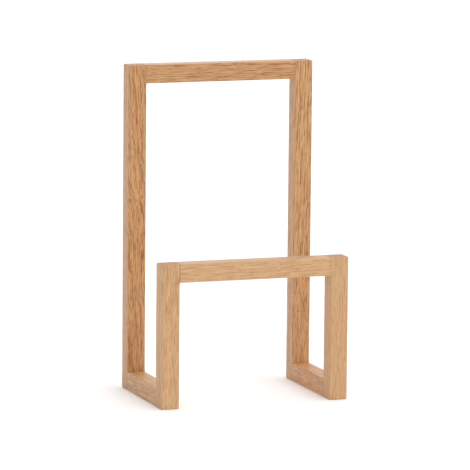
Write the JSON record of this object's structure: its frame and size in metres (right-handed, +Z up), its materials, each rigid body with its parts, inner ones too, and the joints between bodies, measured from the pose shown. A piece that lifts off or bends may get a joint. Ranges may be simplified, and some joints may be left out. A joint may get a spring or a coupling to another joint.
{
  "type": "magazine rack",
  "caption": "Free-standing oak magazine rack: a low front frame and a tall rear frame, joined by foot rails that the magazines stand on. The tall frame's top rail is a handle.",
  "frame": {"origin": "centre of the rack's footprint, on the floor", "axes": "+Z up, -Y towards the low front frame, +X to the right as seen from the front"},
  "size_m": [0.158, 0.102, 0.266],
  "materials": {
    "oak_front": "light oak, clear oiled, satin",
    "oak_rear": "light oak, clear oiled, satin, a shade warmer",
    "oak_foot": "light oak, clear oiled, satin",
    "beech_dowel": "bare fluted beech, hidden"
  },
  "bodies": {
    "root": {"front_left_post": "oak_front", "front_right_post": "oak_front", "front_top_rail": "oak_front", "rear_left_post": "oak_rear", "rear_right_post": "oak_rear", "rear_top_rail": "oak_rear", "left_foot_rail": "oak_foot", "right_foot_rail": "oak_foot", "front_left_top_dowel_lower": "beech_dowel", "front_left_top_dowel_upper": "beech_dowel", "front_left_foot_dowel_lower": "beech_dowel", "front_left_foot_dowel_upper": "beech_dowel", "front_right_top_dowel_lower": "beech_dowel", "front_right_top_dowel_upper": "beech_dowel", "front_right_foot_dowel_lower": "beech_dowel", "front_right_foot_dowel_upper": "beech_dowel", "rear_left_top_dowel_lower": "beech_dowel", "rear_left_top_dowel_upper": "beech_dowel", "rear_left_foot_dowel_lower": "beech_dowel", "rear_left_foot_dowel_upper": "beech_dowel", "rear_right_top_dowel_lower": "beech_dowel", "rear_right_top_dowel_upper": "beech_dowel", "rear_right_foot_dowel_lower": "beech_dowel", "rear_right_foot_dowel_upper": "beech_dowel"}
  },
  "joints": []
}
